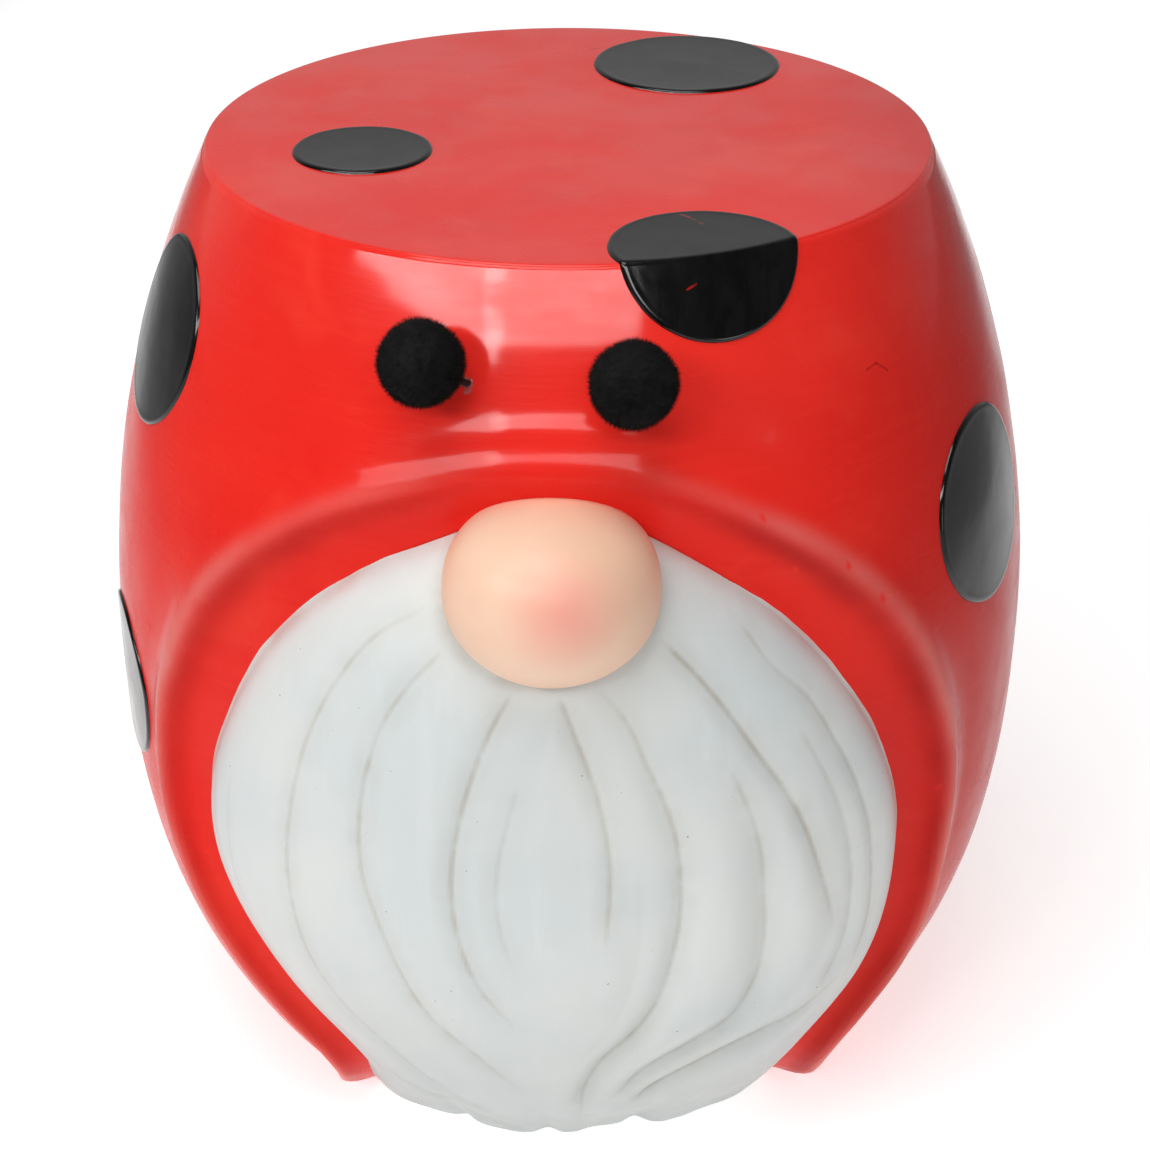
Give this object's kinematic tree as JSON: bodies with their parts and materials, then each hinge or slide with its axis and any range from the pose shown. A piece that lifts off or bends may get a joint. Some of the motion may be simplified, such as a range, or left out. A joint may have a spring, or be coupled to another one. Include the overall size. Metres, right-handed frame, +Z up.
{
  "type": "garden stool",
  "caption": "Hollow cast garden stool shaped as a gnome in a red hat with black ladybird spots, a white beard, a ball nose and two wire antennae with pompoms.",
  "frame": {"origin": "centre of the ground face", "axes": "+Z up, the gnome looks towards -Y, +X to the right as seen from the front"},
  "size_m": [0.368, 0.3958, 0.381],
  "materials": {
    "hat_red": "gloss paint brushed on a cast magnesia shell",
    "spot_black": "high gloss paint",
    "beard_white": "satin paint with a brown wash in the grooves",
    "nose_peach": "satin paint with a pink blush",
    "wire_black": "matt black coated wire",
    "clear_glue": "clear set adhesive",
    "pompom_black": "short dense pile"
  },
  "bodies": {
    "stool": {"hat_shell": "hat_red", "seat_slab": "hat_red", "hat_brim": "hat_red", "brow_fold": "hat_red", "beard": "beard_white", "nose": "nose_peach", "seat_back_spot": "spot_black", "seat_left_spot": "spot_black", "front_spot": "spot_black", "right_spot": "spot_black", "upper_left_spot": "spot_black", "lower_left_spot": "spot_black", "rear_upper_spot": "spot_black", "rear_right_spot": "spot_black", "rear_left_spot": "spot_black", "rear_lower_spot": "spot_black", "left_wire_root": "wire_black", "left_glue_bead": "clear_glue", "right_wire_root": "wire_black", "right_glue_bead": "clear_glue"},
    "left_antenna": {"left_stem": "wire_black", "left_pompom": "pompom_black"},
    "right_antenna": {"right_stem": "wire_black", "right_pompom": "pompom_black"}
  },
  "joints": [
    {"name": "left_antenna_bend", "type": "hinge", "parent": "stool", "child": "left_antenna", "pos_m": [-0.02944, -0.15434, 0.34434], "axis": [-0.5228, -0.2352, -0.8194], "range_deg": [-66, 16]},
    {"name": "right_antenna_bend", "type": "hinge", "parent": "stool", "child": "right_antenna", "pos_m": [0.02944, -0.15434, 0.34434], "axis": [-0.1359, -0.397, -0.9077], "range_deg": [-62, 33]}
  ]
}
